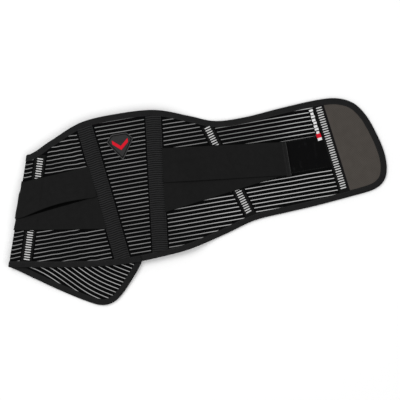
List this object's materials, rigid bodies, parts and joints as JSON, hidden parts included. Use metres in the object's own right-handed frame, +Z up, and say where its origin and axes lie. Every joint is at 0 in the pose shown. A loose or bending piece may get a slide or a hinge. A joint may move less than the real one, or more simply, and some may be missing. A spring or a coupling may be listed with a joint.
{
  "type": "lumbar support belt",
  "caption": "Elastic lumbar support belt with ribbed stay channels, crossed pull straps on both sides and a loop closure end, laid flat with one wing folded under.",
  "frame": {"origin": "on the surface that the belt lies on, under the middle of its box", "axes": "+X along the belt to its right end, +Y up the back, +Z up, away from the surface"},
  "size_m": [0.6228, 0.2986, 0.0161],
  "materials": {
    "stripe_elastic": "matte",
    "lining_cloth": "matte",
    "pad_foam": "matte",
    "channel_webbing": "matte",
    "stay_steel": "satin",
    "stay_cap": "satin",
    "binding_tape": "matte",
    "seam_tape": "matte",
    "badge_rubber": "satin",
    "badge_red": "satin",
    "strap_elastic": "matte",
    "grey_loop": "matte",
    "black_loop": "satin",
    "hook_tape": "satin",
    "label_white": "satin"
  },
  "bodies": {
    "back": {"back_panel": "stripe_elastic", "back_lining": "lining_cloth", "lumbar_pad": "pad_foam", "left_side_panel": "stripe_elastic", "right_side_panel": "stripe_elastic", "left_wing_root": "stripe_elastic", "left_stay_channel": "channel_webbing", "right_stay_channel": "channel_webbing", "left_stay": "stay_steel", "right_stay": "stay_steel", "left_stay_caps": "stay_cap", "right_stay_caps": "stay_cap", "back_binding_top": "binding_tape", "back_binding_bottom": "binding_tape", "left_seam_tape": "seam_tape", "right_seam_tape": "seam_tape", "badge_plate": "badge_rubber", "badge_inlay": "badge_red", "left_upper_strap_base": "strap_elastic", "left_lower_strap_base": "strap_elastic", "right_upper_strap_base": "strap_elastic", "right_lower_strap_base": "strap_elastic"},
    "right_wing": {"right_wing_panel": "stripe_elastic", "right_end_panel": "grey_loop", "right_end_tape": "seam_tape", "right_wing_binding": "binding_tape", "right_landing_patch": "black_loop", "woven_label": "label_white", "right_upper_strap_bridge": "strap_elastic", "right_lower_strap_bridge": "strap_elastic"},
    "right_straps": {"right_upper_strap": "strap_elastic", "right_lower_strap": "strap_elastic"},
    "right_tab": {"right_hook_tab": "hook_tape", "right_strap_end": "binding_tape"},
    "left_wing": {"left_wing_panel": "stripe_elastic", "left_wing_binding": "binding_tape", "left_landing_patch": "black_loop", "closure_hook_patch": "hook_tape", "left_upper_strap_bridge": "strap_elastic", "left_lower_strap_bridge": "strap_elastic"},
    "left_straps": {"left_upper_strap": "strap_elastic", "left_lower_strap": "strap_elastic"},
    "left_tab": {"left_hook_tab": "hook_tape", "left_strap_end": "binding_tape"}
  },
  "joints": [
    {"name": "right_wing_fold", "type": "hinge", "parent": "back", "child": "right_wing", "pos_m": [0.04463, 0.11402, -0.0005], "axis": [-0.2841, 0.9588, 0], "range_deg": [0, 180]},
    {"name": "left_wing_fold", "type": "hinge", "parent": "back", "child": "left_wing", "pos_m": [-0.31048, -0.06068, 0.00805], "axis": [0.3246, 0.9458, 0], "range_deg": [0, 180]},
    {"name": "right_strap_peel", "type": "hinge", "parent": "right_wing", "child": "right_straps", "pos_m": [0.05997, 0.11856, 0.0071], "axis": [0.2841, -0.9588, 0], "range_deg": [0, 120]},
    {"name": "left_strap_peel", "type": "hinge", "parent": "left_wing", "child": "left_straps", "pos_m": [-0.29534, -0.06588, 0.0002], "axis": [0.3246, 0.9458, 0], "range_deg": [0, 120]},
    {"name": "right_strap_pull", "type": "slide", "parent": "right_straps", "child": "right_tab", "axis": [1, 0, 0], "range_m": [0, 0.04], "deforming": ["right_upper_strap", "right_lower_strap"]},
    {"name": "left_strap_pull", "type": "slide", "parent": "left_straps", "child": "left_tab", "axis": [0.7893, -0.6141, 0], "range_m": [0, 0.04], "deforming": ["left_upper_strap", "left_lower_strap"]}
  ]
}
